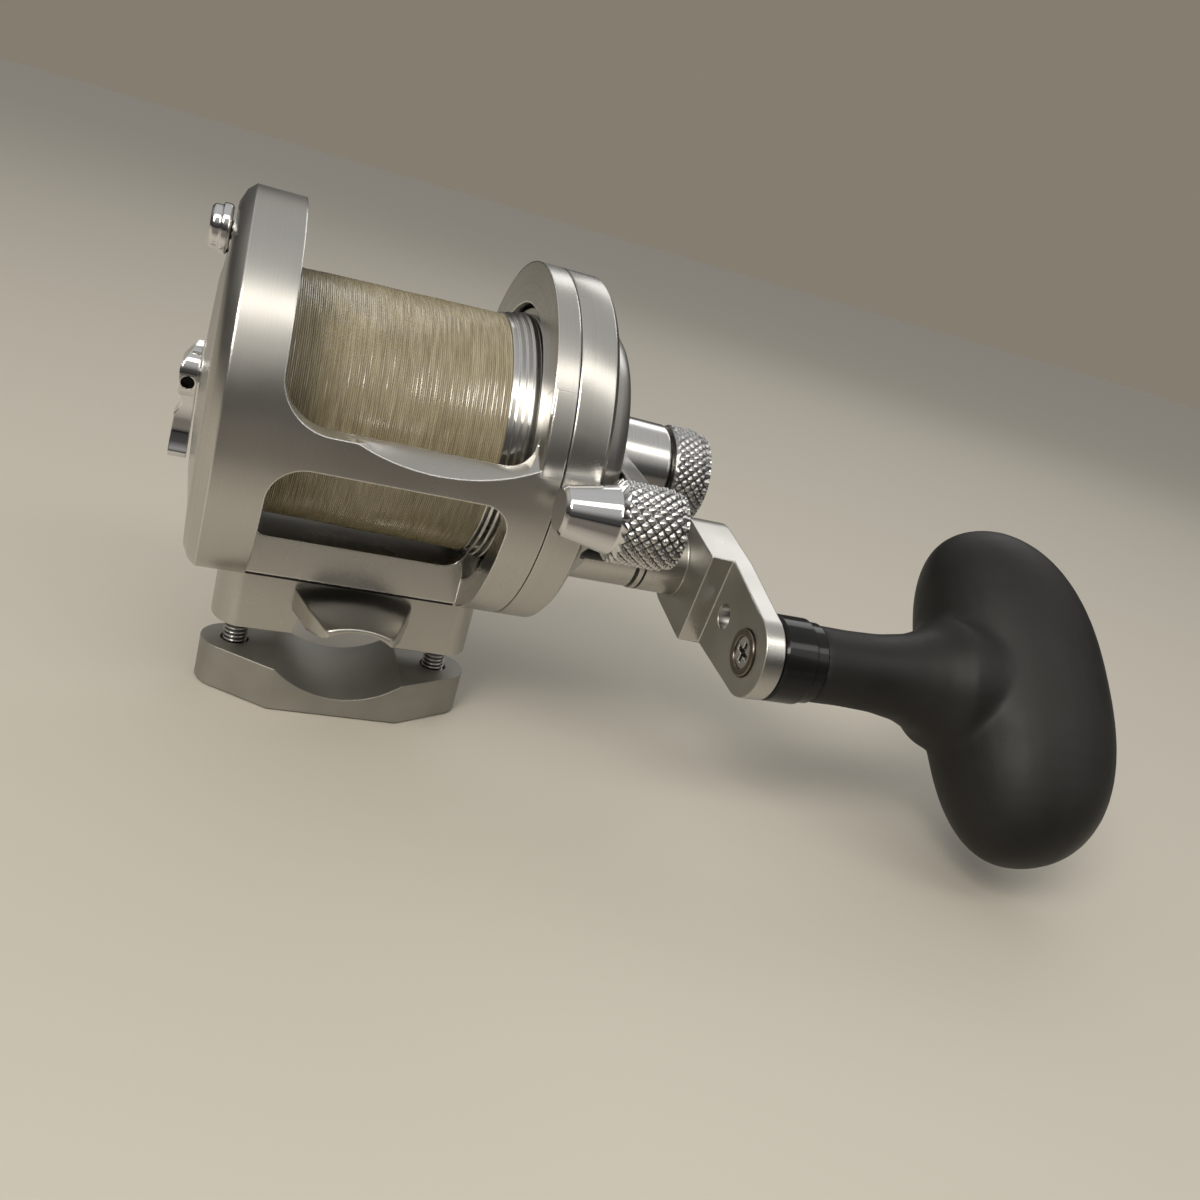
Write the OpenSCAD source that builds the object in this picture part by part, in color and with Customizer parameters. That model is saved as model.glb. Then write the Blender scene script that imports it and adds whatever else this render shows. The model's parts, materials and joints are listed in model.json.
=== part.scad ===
// Conventional lever-drag fishing reel with a rod clamp.
// Frame: origin on the rod's axis under the middle of the spool, +X towards the handle,
// +Y along the rod towards its tip, +Z from the rod up to the reel. Millimetres.

/* [Frame] */
// Outer radius of the frame and both side plates
plate_r = 32; // [31:0.5:36]
// Width between the two plates
frame_gap = 40.3; // [36:0.1:50]
// Width of the left plate's outer band
left_band = 7.8; // [7.6:0.1:10]
// Width of the frame's right ring
ring_w = 3.9; // [3.6:0.1:6]
// Width of the right side plate's rim
rim_w = 7.1; // [6.8:0.1:9]
// Radial thickness of the front and rear bars
bar_wall = 5; // [4:0.1:6.5]
// Height of the bars' top edge above the spool axis
bar_top = 2; // [0:0.1:3]
// Height of the bars' lower edge above the spool axis
bar_bottom = -3.8; // [-6:0.1:-3]
// Corner radius at the left of the top opening
open_r_left = 8; // [4:0.5:10]
// Corner radius at the right of the top opening and of the windows
open_r_right = 4.5; // [3:0.5:6]
// Distance of the platform's top below the spool axis
platform_top = 23; // [22.6:0.1:24]
// Half width of the platform that carries the foot
platform_half = 10; // [8:0.1:12]
// Thickness of the platform
platform_t = 7; // [5:0.1:7.5]
// Height of the spool axis above the rod axis
axis_z = 42.5; // [42.5:0.1:48]
// Length of the thumb scallop along the rear bar
scallop_len = 27.4; // [18:0.2:30]
// Depth of the thumb scallop at the outside
scallop_depth = 2.6; // [1:0.1:3]

/* [Spool] */
// Radius of the spool's flanges
flange_r = 24; // [23.6:0.1:24.2]
// Thickness of the flanges
flange_t = 2.2; // [1.8:0.1:2.6]
// Radius of the spool's arbor
arbor_r = 12; // [10:0.5:14]
// Radius of the line at the left flange
line_r_left = 19.8; // [16:0.1:20.5]
// Radius of the line at the right flange
line_r_right = 21.4; // [16:0.1:21.6]
// Turns in the outer layer of line
line_turns = 24; // [8:1:24]
// Thickness of one turn of line
line_d = 1.2; // [0.8:0.05:1.2]
// Radius of the spool shaft
shaft_r = 1.9; // [1.6:0.05:2]

/* [Gears] */
// Tooth module of the gear pair
gear_m = 0.5; // [0.45:0.01:0.5]
// Teeth of the pinion
pinion_n = 16; // [14:1:16]
// Teeth of the main gear
gear_n = 52; // [50:1:52]
// Direction of the handle shaft from the spool axis, 0 is straight down, to the rear
handle_dir = 8; // [0:0.1:20]

/* [Handle] */
// Distance from the handle shaft to the knob
arm_len = 30.1; // [28:0.1:44]
// Distance from the knob's hole to the spare hole
hole_step = 11.8; // [11:0.1:13]
// Rest angle of the arm below the rearward direction
arm_drop = 9.2; // [-20:0.1:30]
// Thickness of the arm's plate
arm_t = 4; // [3:0.1:5]
// End radius of the arm
arm_r = 8.1; // [7:0.1:9]
// Length of the grip bar
grip_len = 68.5; // [58:0.5:76]
// Thickness of the grip bar
grip_d = 38; // [32:0.5:42]
// Distance from the arm to the middle of the grip bar
grip_reach = 55.5; // [52:0.5:64]
// Turn of the grip bar on its spindle
grip_turn = -56; // [-90:1:90]

/* [Drag lever] */
// Radius at which the lever's knob travels
lever_reach = 7.2; // [7.2:0.1:10]
// Radius of the knurled end of the lever's knob
lever_knob_r = 6.7; // [5:0.1:6.8]
// Radius of the drag pre-set knob
preset_r = 9.3; // [7:0.1:9.3]
// Radius of the lever's hub
hub_r = 9.2; // [7:0.1:9.5]

/* [Rod clamp] */
// Radius of the rod that the clamp takes
rod_r = 9.5; // [7:0.1:9.5]
// Distance between the two clamp screws
screw_pitch = 37.6; // [34:0.1:42]
// Radius of the clamp screws
screw_r = 2; // [1.5:0.1:2.2]
// Height of the clamp
clamp_h = 8; // [7.5:0.1:10]
// Half width of the clamp along the rod
clamp_half = 11.2; // [9:0.1:13]
// Length of the foot along the rod
foot_len = 46; // [34:0.5:60]

/* [Left side] */
// Length of the cast control lever from the spool axis
cast_len = 15; // [12:0.1:18]
// Radius of the cast control lever's hub
cast_r = 4.6; // [4:0.1:6]
// Radius of the clicker button
click_r = 4; // [3:0.1:5]

/* [Clearances] */
// Radial clearance of a running fit
run_gap = 0.05; // [0.03:0.01:0.08]
// Clearance between pieces that move past each other
move_gap = 0.4; // [0.3:0.05:0.6]

/* [Hidden] */
$fn = 64;

// Stations along the spool axis, from left to right
lever_r = plate_r + lever_reach;
open_l = -frame_gap/2;
open_r = frame_gap/2;
band_l = open_l - left_band;
face_l = band_l - 2.3;
dome_l = face_l - 1.5;
recess_floor = band_l + 1.6;
flange_l = open_l - 3.4;
flange_right = open_r + 3.2;
split_x = open_r + ring_w;
rim_x = split_x + rim_w;
house_x = rim_x + 5.6;
washer_t = 0.9;
rotor_x = flange_right + washer_t + 0.8;
rotor_t = 1.2;
gear_x = rotor_x + rotor_t + 0.6;
gear_t = 3;
gear_pocket = gear_x + gear_t + move_gap;
recess_r = flange_r + 2;
hole_r = flange_r + 0.7;

// Gear pair and handle shaft
centre_d = gear_m*(pinion_n + gear_n)/2;
handle_y = -centre_d*sin(handle_dir);
handle_z = -centre_d*cos(handle_dir);
gear_tip = gear_m*(gear_n/2 + 1);
hshaft_r = 3.4;
boss_r = 6.4;
seat_r = 5.4;
boss_end = rim_x + 19.7;
press_gap = 0.02;

// Lever, pre-set knob and arm stations
hub_x0 = house_x + move_gap;
hub_x1 = boss_end + 0.9;
preset_x0 = hub_x1 + 0.7;
preset_x1 = preset_x0 + 8.2;
arm_in = preset_x1 + move_gap;
arm_x = arm_in + 4.6;
arm_out = arm_x + arm_t;
handle_hub_r = 6.6;
spindle_r = 3;
grip_mid = arm_out + grip_reach;

// Rod clamp levels
foot_top = axis_z - platform_top - platform_t;
boss_bottom = 0.5;
clamp_top = -5;
clamp_bottom = clamp_top - clamp_h;
foot_boss_r = 5;

module on_axis() { translate([0, 0, axis_z]) children(); }
module on_handle() { translate([0, handle_y, axis_z + handle_z]) children(); }
// The arm's own frame: +Y of the outline runs from the handle shaft to the knob
module on_arm() { on_handle() rotate([180 + arm_drop, 0, 0]) children(); }
module on_knob() { on_arm() translate([0, arm_len, 0]) children(); }
// Lays a flat outline in the Y-Z plane and runs it from x0 to x1
module along_x(x0, x1) { translate([x0, 0, 0]) rotate([90, 0, 90]) linear_extrude(x1 - x0) children(); }
// Lays a flat outline in the X-Z plane and runs it from y0 to y1
module along_y(y0, y1) { translate([0, y1, 0]) rotate([90, 0, 0]) linear_extrude(y1 - y0) children(); }
// Spins an outline of [radius, x] points about the X axis
module spin_x() { rotate([90, 0, 90]) rotate_extrude() children(); }
module rod_x(x0, x1, r) { along_x(x0, x1) circle(r); }
module tube_x(x0, x1, r, bore) {
    difference() {
        rod_x(x0, x1, r);
        rod_x(x0 - 1, x1 + 1, bore);
    }
}
module corner_nip(x, y, sx, sy, r) {
    difference() {
        translate([x - (sx > 0 ? 1 : r), y - (sy > 0 ? 1 : r)]) square(r + 1);
        translate([x + sx*r, y + sy*r]) circle(r);
    }
}
// Rectangle with its own radius at each corner
module round_rect(x0, y0, x1, y1, bl, br, tr, tl) {
    difference() {
        translate([x0, y0]) square([x1 - x0, y1 - y0]);
        corner_nip(x0, y0, 1, 1, bl);
        corner_nip(x1, y0, -1, 1, br);
        corner_nip(x1, y1, -1, -1, tr);
        corner_nip(x0, y1, 1, -1, tl);
    }
}
// Involute gear outline with a tooth centred on +Y of the flat outline's x axis
function inv(a) = tan(a) - a*PI/180;
function tooth_half(n, r, a) = 90/n - gear_slack*180/PI/(gear_m*n)
    + (inv(a) - inv(acos(min(1, gear_m*n/2*cos(a)/r))))*180/PI;
gear_pa = 25;
gear_slack = 0.1;
module gear_flat(n) {
    rp = gear_m*n/2;
    rb = rp*cos(gear_pa);
    rr = [rp - 1.25*gear_m, max(rb, rp - 0.8*gear_m), rp, rp + 0.5*gear_m, rp + gear_m];
    polygon([for (i = [0:n - 1]) each concat(
        [for (r = rr) [r*cos(i*360/n - tooth_half(n, max(r, rb), gear_pa)),
                       r*sin(i*360/n - tooth_half(n, max(r, rb), gear_pa))]],
        [for (k = [4:-1:0]) [rr[k]*cos(i*360/n + tooth_half(n, max(rr[k], rb), gear_pa)),
                             rr[k]*sin(i*360/n + tooth_half(n, max(rr[k], rb), gear_pa))]])]);
}

// One-piece frame: left plate, right ring, two bars and the foot platform
module window_flat() {
    round_rect(open_l + 0.3, -platform_top, open_r - 2.5, bar_bottom, 2.5, open_r_right, open_r_right, 6);
}
module shell() {
    difference() {
        spin_x() polygon([[0, dome_l], [8, dome_l], [16, dome_l + 0.35], [22, face_l - 0.35],
                          [plate_r - 3.4, face_l], [plate_r - 1.2, band_l - 1.3], [plate_r, band_l],
                          [plate_r, split_x], [hole_r, split_x], [hole_r, open_r], [plate_r - bar_wall, open_r],
                          [plate_r - bar_wall, open_l], [recess_r, open_l], [recess_r, recess_floor],
                          [0, recess_floor]]);
        along_y(-plate_r - 5, plate_r + 5)
            round_rect(open_l, bar_top, open_r, plate_r + 5, open_r_left, open_r_right, 1, 1);
        along_y(-plate_r - 5, plate_r + 5)
            translate([open_l + 0.3, -plate_r - 5]) square([frame_gap - 2.8, plate_r + 11 - platform_top]);
        along_y(-plate_r - 5, plate_r + 5) window_flat();
        thumb_scallop();
    }
}
// A tilted cylinder that dishes the rear bar's upper outer edge for the thumb
module thumb_scallop() {
    rc = (scallop_len*scallop_len/4 + scallop_depth*scallop_depth)/(2*scallop_depth);
    tilt = atan(scallop_depth/bar_wall);
    translate([4.6, -plate_r, bar_top - scallop_depth]) rotate([tilt, 0, 0])
        along_y(-12, 8) translate([0, rc]) circle(rc, $fn = 128);
}
module platform() {
    difference() {
        along_y(-platform_half, platform_half)
            translate([open_l - 0.5, -platform_top - platform_t - 1]) square([frame_gap + 1, platform_t + 7]);
        along_y(-platform_half - 1, platform_half + 1) window_flat();
        rod_x(open_r - 0.1, open_r + 1, hole_r);
        rod_x(open_l - 1, open_l + 0.1, recess_r);
        rod_x(open_l - 1, open_r + 1, line_r_right + 0.8);
    }
}
module frame() {
    color("silver") on_axis() difference() {
        union() {
            shell();
            platform();
        }
        along_x(dome_l - 5, split_x + 1)
            translate([-plate_r - 1, -plate_r - 10]) square([2*plate_r + 2, plate_r + 10 - platform_top - platform_t]);
        rod_x(dome_l - 1, recess_floor + 1, shaft_r + run_gap);
        click_slot();
        for (s = [-1, 1])
            translate([s*11, 0, -platform_top - platform_t - 1]) cylinder(r = 1.25, h = 5.5);
        for (a = screw_angles)
            rotate([a, 0, 0]) translate([0, plate_r - 3.4, 0]) rod_x(open_r + 0.8, split_x + 1, 1);
    }
}
click_z = recess_r - 2;
click_travel = 3;
stem_r = 1.5;
module click_slot() {
    along_x(face_l - 5, recess_floor + 1) {
        translate([-stem_r - move_gap, click_z - click_travel])
            square([2*stem_r + 2*move_gap, click_travel]);
        translate([0, click_z]) circle(stem_r + move_gap);
        translate([0, click_z - click_travel]) circle(stem_r + move_gap);
    }
    along_x(face_l - 5, face_l) {
        translate([-click_r - move_gap, click_z - click_travel])
            square([2*click_r + 2*move_gap, click_travel]);
        translate([0, click_z]) circle(click_r + move_gap);
        translate([0, click_z - click_travel]) circle(click_r + move_gap);
    }
}

// Right side plate with its raised gear housing and handle boss
screw_angles = [25, 85, 145, 215, 325];
module right_side_plate() {
    color("silver") on_axis() difference() {
        union() {
            spin_x() polygon([[0, split_x], [plate_r, split_x], [plate_r, rim_x - 0.8], [plate_r - 0.8, rim_x],
                              [25.6, rim_x + 0.8], [24, house_x - 1], [23, house_x], [0, house_x]]);
            translate([0, handle_y, handle_z]) rod_x(rim_x, boss_end, boss_r);
        }
        rod_x(split_x - 1, gear_pocket, hole_r);
        translate([0, handle_y, handle_z]) {
            rod_x(split_x - 1, gear_pocket, gear_tip + move_gap);
            rod_x(gear_pocket - 1, boss_end - 0.6, seat_r + press_gap);
            rod_x(boss_end - 2, boss_end + 1, hshaft_r + 0.5);
        }
        rod_x(gear_pocket - 1, house_x - 1, 6 + press_gap);
        rod_x(house_x - 2, house_x + 1, 3.6);
        translate([0, strike_y, strike_z]) {
            rod_x(gear_pocket + 0.6, house_x + 2, strike_r + run_gap);
        }
        for (a = screw_angles)
            rotate([a, 0, 0]) translate([0, plate_r - 3.4, 0]) {
                rod_x(split_x - 1, rim_x + 1, 1.1);
                rod_x(rim_x - 1.2, rim_x + 3, 2);
            }
    }
}
module side_plate_screws() {
    color("dimgray") on_axis() for (a = screw_angles)
        rotate([a, 0, 0]) translate([0, plate_r - 3.4, 0]) difference() {
            union() {
                rod_x(open_r + 1.2, rim_x - 0.6, 0.95);
                rod_x(rim_x - 1.15, rim_x - 0.05, 1.8);
            }
            along_x(rim_x - 0.7, rim_x + 1) square([0.5, 2.2], center = true);
            along_x(rim_x - 0.7, rim_x + 1) square([2.2, 0.5], center = true);
        }
}
// Push button that lets the lever pass its stop, with its return spring
strike_y = -19;
strike_z = -11.5;
strike_r = 2.2;
module strike_button() {
    color("black") on_axis() translate([0, strike_y, strike_z]) rod_x(gear_pocket + 2.8, house_x + 2.6, strike_r);
}
module strike_spring() {
    color("gray") on_axis() translate([0, strike_y, strike_z]) tube_x(gear_pocket + 0.6, gear_pocket + 1.4, 1.9, 1.2);
}

// Foot with its two bosses and rod saddle
module rod_foot() {
    color("lightgray") difference() {
        union() {
            translate([0, 0, foot_top - 3]) linear_extrude(3) foot_flat();
            for (s = [-1, 1])
                translate([s*screw_pitch/2, 0, boss_bottom]) cylinder(r = foot_boss_r, h = foot_top - boss_bottom);
            difference() {
                translate([-screw_pitch/2, -foot_boss_r, boss_bottom])
                    cube([screw_pitch, 2*foot_boss_r, foot_top - boss_bottom]);
            }
        }
        along_y(-foot_len, foot_len) circle(rod_r, $fn = 96);
        for (s = [-1, 1]) {
            translate([s*screw_pitch/2, 0, boss_bottom - 1]) cylinder(r = screw_r + press_gap, h = 10);
            translate([s*11, 0, -1]) cylinder(r = 1.35, h = foot_top + 2);
            translate([s*11, 0, foot_top - 14]) cylinder(r = 2.4, h = 12.6);
        }
    }
}
// Plan of the foot's thin saddle plate, narrowing to rounded tabs along the rod
module foot_flat() {
    intersection() {
        polygon([[-10.5, -8], [-6, -foot_len/2], [6, -foot_len/2], [10.5, -8],
                 [10.5, 8], [6, foot_len/2], [-6, foot_len/2], [-10.5, 8]]);
        circle(foot_len/2, $fn = 96);
    }
}
module foot_screws() {
    color("dimgray") for (s = [-1, 1])
        translate([s*11, 0, 0]) {
            translate([0, 0, foot_top - 1.5]) cylinder(r = 1.15, h = 5.5);
            translate([0, 0, foot_top - 2.7]) cylinder(r = 2.2, h = 1.3);
        }
}
// Loose clamp half that slides on the two screws
module rod_clamp() {
    color("gray") difference() {
        translate([0, 0, clamp_bottom]) linear_extrude(clamp_h) clamp_flat();
        along_y(-30, 30) circle(rod_r, $fn = 96);
        for (s = [-1, 1])
            translate([s*screw_pitch/2, 0, clamp_bottom - 1]) cylinder(r = screw_r + 0.5, h = clamp_h + 2);
        for (s = [-1, 1])
            translate([s*screw_pitch/2, 0, clamp_bottom - 1]) cylinder(r = head_r + 0.5, h = head_h + 1.4);
    }
}
module clamp_flat() {
    polygon([[-11.8, -clamp_half], [11.8, -clamp_half], [screw_pitch/2 + 2.6, -5.4], [screw_pitch/2 + 2.6, 5.4],
             [11.8, clamp_half], [-11.8, clamp_half], [-screw_pitch/2 - 2.6, 5.4], [-screw_pitch/2 - 2.6, -5.4]]);
    for (s = [-1, 1])
        translate([s*screw_pitch/2, 0]) circle(6);
}
head_r = 3.6;
head_h = 2.4;
module clamp_screws() {
    color("dimgray") for (s = [-1, 1])
        translate([s*screw_pitch/2, 0, clamp_bottom + 0.4]) difference() {
            union() {
                cylinder(r = head_r, h = head_h);
                cylinder(r = screw_r, h = boss_bottom - clamp_bottom + 8.2);
            }
            translate([0, 0, -1]) linear_extrude(2.2) square([0.9, 5], center = true);
            translate([0, 0, -1]) linear_extrude(2.2) square([5, 0.9], center = true);
        }
}

// Spool with bearing seats and stepped flanges
bearing_r = 5;
bearing_w = 4;
module spool() {
    fl = flange_l + flange_t;
    fr = flange_right - flange_t;
    color("silver") on_axis() spin_x() polygon([
        [3.4, flange_l + bearing_w + 1], [bearing_r + press_gap, flange_l + bearing_w + 1],
        [bearing_r + press_gap, flange_l], [flange_r - 0.5, flange_l], [flange_r, flange_l + 0.5],
        [flange_r, fl - 0.3], [flange_r - 1.4, fl - 0.3], [flange_r - 1.4, fl], [arbor_r, fl],
        [arbor_r, fr], [flange_r - 1.4, fr], [flange_r - 1.4, fr + 0.3], [flange_r, fr + 0.3],
        [flange_r, flange_right - 0.5], [flange_r - 0.5, flange_right], [bearing_r + press_gap, flange_right],
        [bearing_r + press_gap, flange_right - bearing_w - 1], [3.4, flange_right - bearing_w - 1]]);
}
module spool_bearings() {
    color("gainsboro") on_axis() {
        tube_x(flange_l + 0.6, flange_l + 0.6 + bearing_w, bearing_r, shaft_r + run_gap);
        tube_x(flange_right - 0.6 - bearing_w, flange_right - 0.6, bearing_r, shaft_r + run_gap);
    }
}
// Line: a plain core with one outer layer wound over it
line_x0 = flange_l + flange_t + 0.05;
line_x1 = flange_right - flange_t - 0.05;
wind_rings = 24;
wind_a = line_x0 + line_d/2 + 0.4;
wind_b = line_x1 - line_d/2 - 0.4;
wind_sag = (line_r_right)*(1 - cos(180/wind_rings)) + 0.08;
module line_core() {
    color("khaki") on_axis() spin_x() polygon([
        [arbor_r + press_gap, line_x0], [line_r_left - line_d - wind_sag, line_x0],
        [line_r_right - line_d - wind_sag, line_x1], [arbor_r + press_gap, line_x1]]);
}
function wind_t(i) = i/(line_turns*wind_rings);
function wind_x(i) = wind_a + (wind_b - wind_a)*wind_t(i);
function wind_r(i) = line_r_left + (line_r_right - line_r_left)*(wind_x(i) - line_x0)/(line_x1 - line_x0) - line_d/2;
function wind_ang(i) = i*360/wind_rings;
function wind_mid(i) = [wind_x(i), wind_r(i)*cos(wind_ang(i)), wind_r(i)*sin(wind_ang(i))];
function wind_way(i) = [0, -sin(wind_ang(i)), cos(wind_ang(i))];
function wind_ring(i, c) = [for (k = [0:5]) c + line_d/2*(cos(k*60)*[0, cos(wind_ang(i)), sin(wind_ang(i))]
                                                       + sin(k*60)*[1, 0, 0])];
wind_n = line_turns*wind_rings;
wind_gap = min([for (i = [0:wind_n - wind_rings]) norm(wind_mid(i) - wind_mid(i + wind_rings))]) - line_d;
module line_winding() {
    echo(line_winding_least_gap = wind_gap);
    rings = concat([wind_ring(0, wind_mid(0) - line_d*wind_way(0))],
                   [for (i = [0:wind_n]) wind_ring(i, wind_mid(i))],
                   [wind_ring(wind_n, wind_mid(wind_n) + line_d*wind_way(wind_n))]);
    n = len(rings);
    pts = concat([for (r = rings) each r], [wind_mid(0) - line_d*wind_way(0), wind_mid(wind_n) + line_d*wind_way(wind_n)]);
    sides = [for (j = [0:n - 2]) for (k = [0:5]) each [
        [j*6 + k, j*6 + (k + 1)%6, (j + 1)*6 + k], [j*6 + (k + 1)%6, (j + 1)*6 + (k + 1)%6, (j + 1)*6 + k]]];
    caps = [for (k = [0:5]) each [[n*6, (k + 1)%6, k], [n*6 + 1, (n - 1)*6 + k, (n - 1)*6 + (k + 1)%6]]];
    color("khaki") on_axis() polyhedron(pts, concat(sides, caps));
}
// Spool shaft, and the collar and spring washers that the drag cam pushes towards the spool
shaft_end = preset_x0 + 4.6;
module spool_shaft() { color("gainsboro") on_axis() rod_x(band_l - 1.2, shaft_end, shaft_r); }
module cam_collar() { color("gainsboro") on_axis() tube_x(hub_x0 + 1, hub_x0 + 6, 5.4, shaft_r + run_gap); }
module drag_springs() {
    color("gray") on_axis() for (i = [0:2])
        translate([hub_x0 + 6.05 + i*0.75, 0, 0]) tube_x(0, 0.7, 4.8, shaft_r + run_gap);
}
// Click ratchet on the spool's left face
click_gear_r = flange_r/2;
module click_gear() {
    color("goldenrod") on_axis() along_x(flange_l - 1.6, flange_l) difference() {
        circle(click_gear_r, $fn = 96);
        circle(8);
        for (a = [0:12:359])
            rotate(a) translate([click_gear_r + 0.3, 0]) circle(0.9, $fn = 16);
    }
}
module drag_washer() {
    color("dimgray") on_axis() tube_x(flange_right, flange_right + washer_t, flange_r - 1.5, 8);
}
module drag_rotor() {
    color("gainsboro") on_axis() tube_x(rotor_x, rotor_x + rotor_t, flange_r - 1.2, 3 + press_gap);
}
module pinion() {
    color("gainsboro") on_axis() difference() {
        union() {
            rod_x(rotor_x, gear_x, 3);
            along_x(gear_x - 0.3, gear_x + gear_t + 0.1) rotate(270 - handle_dir) gear_flat(pinion_n);
            rod_x(gear_x + gear_t, hub_x0 + 0.9, 3.1);
        }
        rod_x(rotor_x - 1, hub_x0 + 2, shaft_r + run_gap);
    }
}
module pinion_bearing() { color("gainsboro") on_axis() tube_x(gear_pocket + 0.5, house_x - 1.2, 6, 3.1 + run_gap); }

// Drag lever with its knob and the pre-set knob
lever_x = hub_x0 + 2;
module drag_lever() {
    color("silver") on_axis() difference() {
        union() {
            spin_x() polygon([[0, hub_x0], [hub_r, hub_x0], [hub_r - 0.3, hub_x1 - 0.6], [hub_r - 0.9, hub_x1], [0, hub_x1]]);
            along_x(hub_x0, hub_x0 + 4) polygon([[0, 5], [0, -5], [-lever_r + 7.5, -3.4], [-lever_r + 7.5, 3.4]]);
            along_y(-lever_r + 1, -lever_r + 8) translate([lever_x, 0]) circle(1.7);
        }
        rod_x(hub_x0 - 1, hub_x0 + 9.4, 6);
        rod_x(hub_x0, hub_x1 + 1, shaft_r + run_gap);
    }
}
module lever_knob() {
    x0 = split_x - 1.6;
    x1 = rim_x + 0.2;
    x2 = x1 + 11.2;
    color("silver") on_axis() translate([0, -lever_r, 0]) difference() {
        spin_x() polygon([[0, x0], [3.4, x0], [4, x0 + 0.6], [lever_knob_r - 1.2, x1 - 0.4], [lever_knob_r - 0.4, x1],
                          [lever_knob_r, x1 + 0.5], [lever_knob_r, x2 - 2.4], [lever_knob_r - 0.5, x2 - 1.1],
                          [lever_knob_r - 1.6, x2 - 0.2], [lever_knob_r - 3, x2], [0, x2]]);
        along_y(0.6, 10) translate([lever_x, 0]) circle(1.7 + press_gap);
    }
}
module preset_knob() {
    color("silver") on_axis() difference() {
        spin_x() polygon([[0, preset_x0], [preset_r - 0.5, preset_x0], [preset_r, preset_x0 + 0.6],
                          [preset_r, preset_x1 - 3], [preset_r - 0.7, preset_x1 - 1.4], [preset_r - 2.2, preset_x1 - 0.4],
                          [preset_r - 4.4, preset_x1], [0, preset_x1]]);
        rod_x(preset_x0 - 1, shaft_end + 1, shaft_r + 0.3);
    }
}
module preset_spring() { color("dimgray") on_axis() tube_x(hub_x1, hub_x1 + 0.4, 6.5, 4); }

// Gear train, handle shaft and its bearings
module main_gear() {
    color("goldenrod") on_handle() difference() {
        along_x(gear_x, gear_x + gear_t) rotate(90 - handle_dir + 180/gear_n) gear_flat(gear_n);
        rod_x(gear_x - 1, gear_x + gear_t + 1, hshaft_r + press_gap);
    }
}
module handle_shaft() { color("gainsboro") on_handle() rod_x(gear_x - 0.2, arm_out + 4.6, hshaft_r); }
module anti_reverse_clutch() {
    color("dimgray") on_handle() tube_x(gear_pocket + 0.6, gear_pocket + 8.6, seat_r, hshaft_r + run_gap);
}
module handle_bearing() {
    color("gainsboro") on_handle() tube_x(boss_end - 5, boss_end - 1, seat_r, hshaft_r + run_gap);
}
// Handle arm: hub, thick root and the stepped plate with two knob holes
root_len = 13.6;
module handle_arm() {
    color("silver") on_arm() difference() {
        union() {
            rod_x(boss_end + 0.6, arm_in + 1, handle_hub_r);
            along_x(arm_in, arm_out) {
                circle(arm_r + 1.4);
                translate([0, -arm_r - 1.4]) square([root_len, 2*arm_r + 2.8]);
            }
            along_x(arm_x, arm_out) {
                polygon([[0, arm_r + 1.4], [root_len, arm_r + 1.4], [arm_len, arm_r],
                         [arm_len, -arm_r], [root_len, -arm_r - 1.4], [0, -arm_r - 1.4]]);
                translate([arm_len, 0]) circle(arm_r);
            }
        }
        rod_x(boss_end, arm_out + 1, hshaft_r + press_gap);
        translate([0, arm_len, 0]) rod_x(arm_x - 1, arm_out + 1, bush_r + press_gap);
        translate([0, arm_len - hole_step, 0]) rod_x(arm_x - 1, arm_out + 1, 2.4);
        translate([0, 9, 0]) rod_x(arm_out - 4, arm_out + 1, 1 + press_gap);
    }
}
bush_r = 4.3;
module handle_nut() {
    color("gainsboro") on_arm() difference() {
        along_x(arm_out, arm_out + 3.8) circle(5.8, $fn = 6);
        rod_x(arm_out - 1, arm_out + 5, hshaft_r + press_gap);
    }
}
module nut_lock_screw() {
    color("gainsboro") on_arm() translate([0, 9, 0]) difference() {
        union() {
            rod_x(arm_out - 3.8, arm_out + 0.1, 1);
            rod_x(arm_out, arm_out + 1.2, 1.9);
        }
        along_x(arm_out + 0.6, arm_out + 2) square([0.5, 5], center = true);
    }
}
module spindle_bush() { color("peru") on_knob() tube_x(arm_x - 0.5, arm_out, bush_r, spindle_r + press_gap); }
spindle_end = grip_mid - grip_d/2 - 1.4;
module knob_spindle() {
    color("gainsboro") on_knob() difference() {
        rod_x(arm_x - 0.2, spindle_end, spindle_r);
        along_x(arm_x - 1, arm_x + 1.6) square([1, 4], center = true);
        along_x(arm_x - 1, arm_x + 1.6) square([4, 1], center = true);
    }
}
// Grip: ferrule, hollow core on two bearings, and the moulded T-bar
ferrule_x = arm_out + 0.4;
core_x = ferrule_x + 9;
core_bore = 4.9;
module grip_ferrule() {
    color("black") on_knob() spin_x() polygon([
        [spindle_r + 0.4, ferrule_x], [7.6, ferrule_x], [8, ferrule_x + 0.5], [8, ferrule_x + 6.2],
        [7.5, ferrule_x + 6.6], [7.5, core_x - 0.3], [7.2, core_x], [spindle_r + 0.4, core_x]]);
}
module grip_core() {
    flare = grip_mid - 0.46*grip_d - core_x;
    color("black") on_knob() difference() {
        spin_x() polygon([[0, core_x], [7.2, core_x], [7.1, core_x + 0.25*flare], [7.4, core_x + 0.5*flare],
                          [8.4, core_x + 0.72*flare], [10.2, core_x + 0.88*flare], [13, core_x + flare],
                          [13, grip_mid], [0, grip_mid]]);
        rod_x(core_x - 1, spindle_end + 1, core_bore + press_gap);
    }
}
module knob_bearings() {
    color("gainsboro") on_knob() {
        tube_x(core_x + 0.4, core_x + 4.4, core_bore, spindle_r + run_gap);
        tube_x(spindle_end - 6, spindle_end - 2, core_bore, spindle_r + run_gap);
    }
}
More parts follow.
